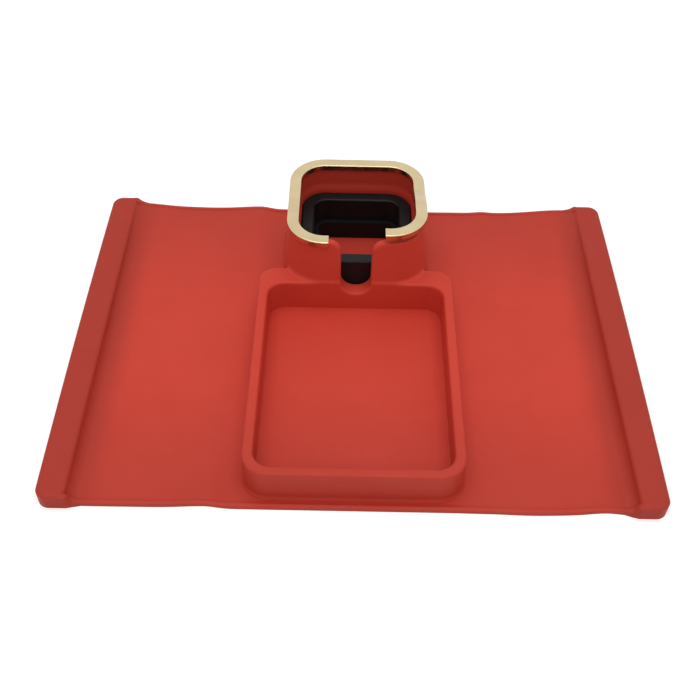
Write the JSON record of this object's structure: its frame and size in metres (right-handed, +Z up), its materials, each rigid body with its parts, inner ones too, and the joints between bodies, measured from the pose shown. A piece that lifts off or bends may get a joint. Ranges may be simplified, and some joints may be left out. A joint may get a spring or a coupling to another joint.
{
  "type": "sofa arm tray",
  "caption": "Flexible silicone arm tray with weighted ends, a walled tray, a square cup holder with a handle slot, a trim cap and a drop-in cup insert.",
  "frame": {"origin": "underside of the mat, at the middle of its length and depth", "axes": "+X across the sofa arm, towards the right-hand hem; +Y away from the sitter, towards the cup holder's end; +Z up"},
  "size_m": [0.411, 0.3086, 0.0733],
  "materials": {
    "silicone_red": "matt moulded silicone",
    "trim_gold": "polished",
    "insert_black": "satin",
    "bar_steel": "plain"
  },
  "bodies": {
    "centre": {"centre_mat": "silicone_red", "tray_wall": "silicone_red", "cup_collar": "silicone_red"},
    "left_bend_inner": {"left_bend_inner": "silicone_red"},
    "left_bend_outer": {"left_bend_outer": "silicone_red"},
    "left_wing": {"left_wing": "silicone_red", "left_weight_bar": "bar_steel", "left_hem_strip": "silicone_red"},
    "right_bend_inner": {"right_bend_inner": "silicone_red"},
    "right_bend_outer": {"right_bend_outer": "silicone_red"},
    "right_wing": {"right_wing": "silicone_red", "right_weight_bar": "bar_steel", "right_hem_strip": "silicone_red"},
    "trim_ring": {"trim_ring": "trim_gold"},
    "cup_insert": {"cup_insert": "insert_black"}
  },
  "joints": [
    {"name": "left_bend_1", "type": "hinge", "parent": "centre", "child": "left_bend_inner", "pos_m": [-0.08, 0, 0], "axis": [0, -1, 0], "range_deg": [0, 30]},
    {"name": "left_bend_2", "type": "hinge", "parent": "left_bend_inner", "child": "left_bend_outer", "pos_m": [-0.094, 0, 0], "axis": [0, -1, 0], "range_deg": [0, 30]},
    {"name": "left_bend_3", "type": "hinge", "parent": "left_bend_outer", "child": "left_wing", "pos_m": [-0.108, 0, 0], "axis": [0, -1, 0], "range_deg": [0, 30]},
    {"name": "right_bend_1", "type": "hinge", "parent": "centre", "child": "right_bend_inner", "pos_m": [0.08, 0, 0], "axis": [0, 1, 0], "range_deg": [0, 30]},
    {"name": "right_bend_2", "type": "hinge", "parent": "right_bend_inner", "child": "right_bend_outer", "pos_m": [0.094, 0, 0], "axis": [0, 1, 0], "range_deg": [0, 30]},
    {"name": "right_bend_3", "type": "hinge", "parent": "right_bend_outer", "child": "right_wing", "pos_m": [0.108, 0, 0], "axis": [0, 1, 0], "range_deg": [0, 30]},
    {"name": "trim_lift", "type": "slide", "parent": "centre", "child": "trim_ring", "axis": [0, 0, 1], "range_m": [0, 0.03]},
    {"name": "insert_lift", "type": "slide", "parent": "centre", "child": "cup_insert", "axis": [0, 0, 1], "range_m": [0, 0.075]}
  ],
  "couplings": [
    {"joint": "left_bend_1", "follows": "left_bend_3", "ratio": 1},
    {"joint": "left_bend_2", "follows": "left_bend_3", "ratio": 1},
    {"joint": "right_bend_1", "follows": "right_bend_3", "ratio": 1},
    {"joint": "right_bend_2", "follows": "right_bend_3", "ratio": 1}
  ]
}
